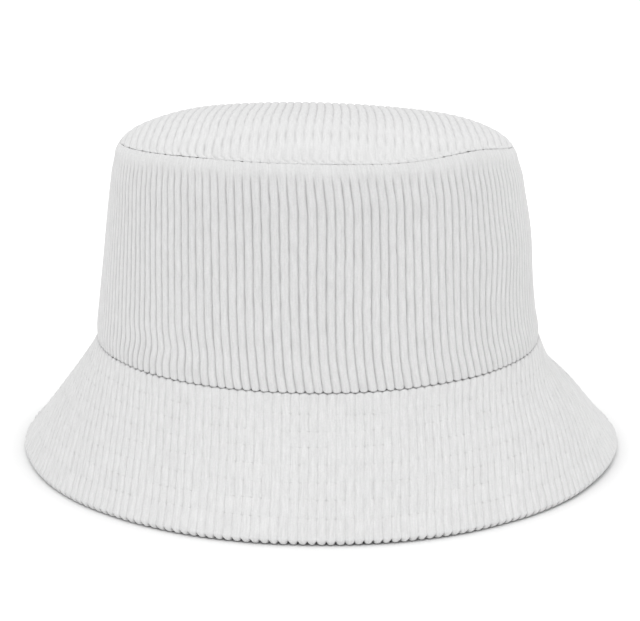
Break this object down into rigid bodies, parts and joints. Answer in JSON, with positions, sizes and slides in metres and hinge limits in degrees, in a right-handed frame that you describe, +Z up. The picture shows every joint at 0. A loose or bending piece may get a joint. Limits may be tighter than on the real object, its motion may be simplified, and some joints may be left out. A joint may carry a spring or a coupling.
{
  "type": "bucket hat",
  "caption": "Lined corduroy bucket hat: round flat-topped crown, straight side band and a sloping topstitched brim, open below for the head.",
  "frame": {"origin": "centre of the hat on the plane its brim edge rests on", "axes": "+Z up through the crown, -Y to the front, +X to the right as seen from the front"},
  "size_m": [0.2626, 0.2626, 0.1417],
  "materials": {
    "corduroy": "off-white wide-wale cotton corduroy, soft pile",
    "interlining": "stiff unbleached buckram",
    "lining": "plain-weave cotton lining",
    "sweatband": "cotton twill tape",
    "thread": "spun polyester sewing thread",
    "label": "blank satin label tape"
  },
  "bodies": {
    "hat": {"crown_tip": "corduroy", "side_band_front": "corduroy", "side_band_back": "corduroy", "brim_upper_front": "corduroy", "brim_upper_back": "corduroy", "brim_interlining": "interlining", "brim_under_front": "corduroy", "brim_under_back": "corduroy", "lining_tip": "lining", "lining_side_front": "lining", "lining_side_back": "lining", "sweatband": "sweatband", "top_seam_thread": "thread", "side_seam_thread_left": "thread", "side_seam_thread_right": "thread", "brim_seam_thread": "thread", "brim_edge_thread": "thread", "brim_topstitch_1": "thread", "brim_topstitch_2": "thread", "brim_topstitch_3": "thread", "brim_topstitch_4": "thread", "brim_topstitch_5": "thread", "brim_topstitch_6": "thread", "brim_topstitch_7": "thread", "lining_seam_thread": "thread", "sweatband_thread": "thread", "label_thread": "thread"},
    "label": {"care_label": "label"}
  },
  "joints": [
    {"name": "label_flap", "type": "hinge", "parent": "hat", "child": "label", "pos_m": [0, 0.082, 0.112], "axis": [-1, 0, 0], "range_deg": [0, 110]}
  ]
}
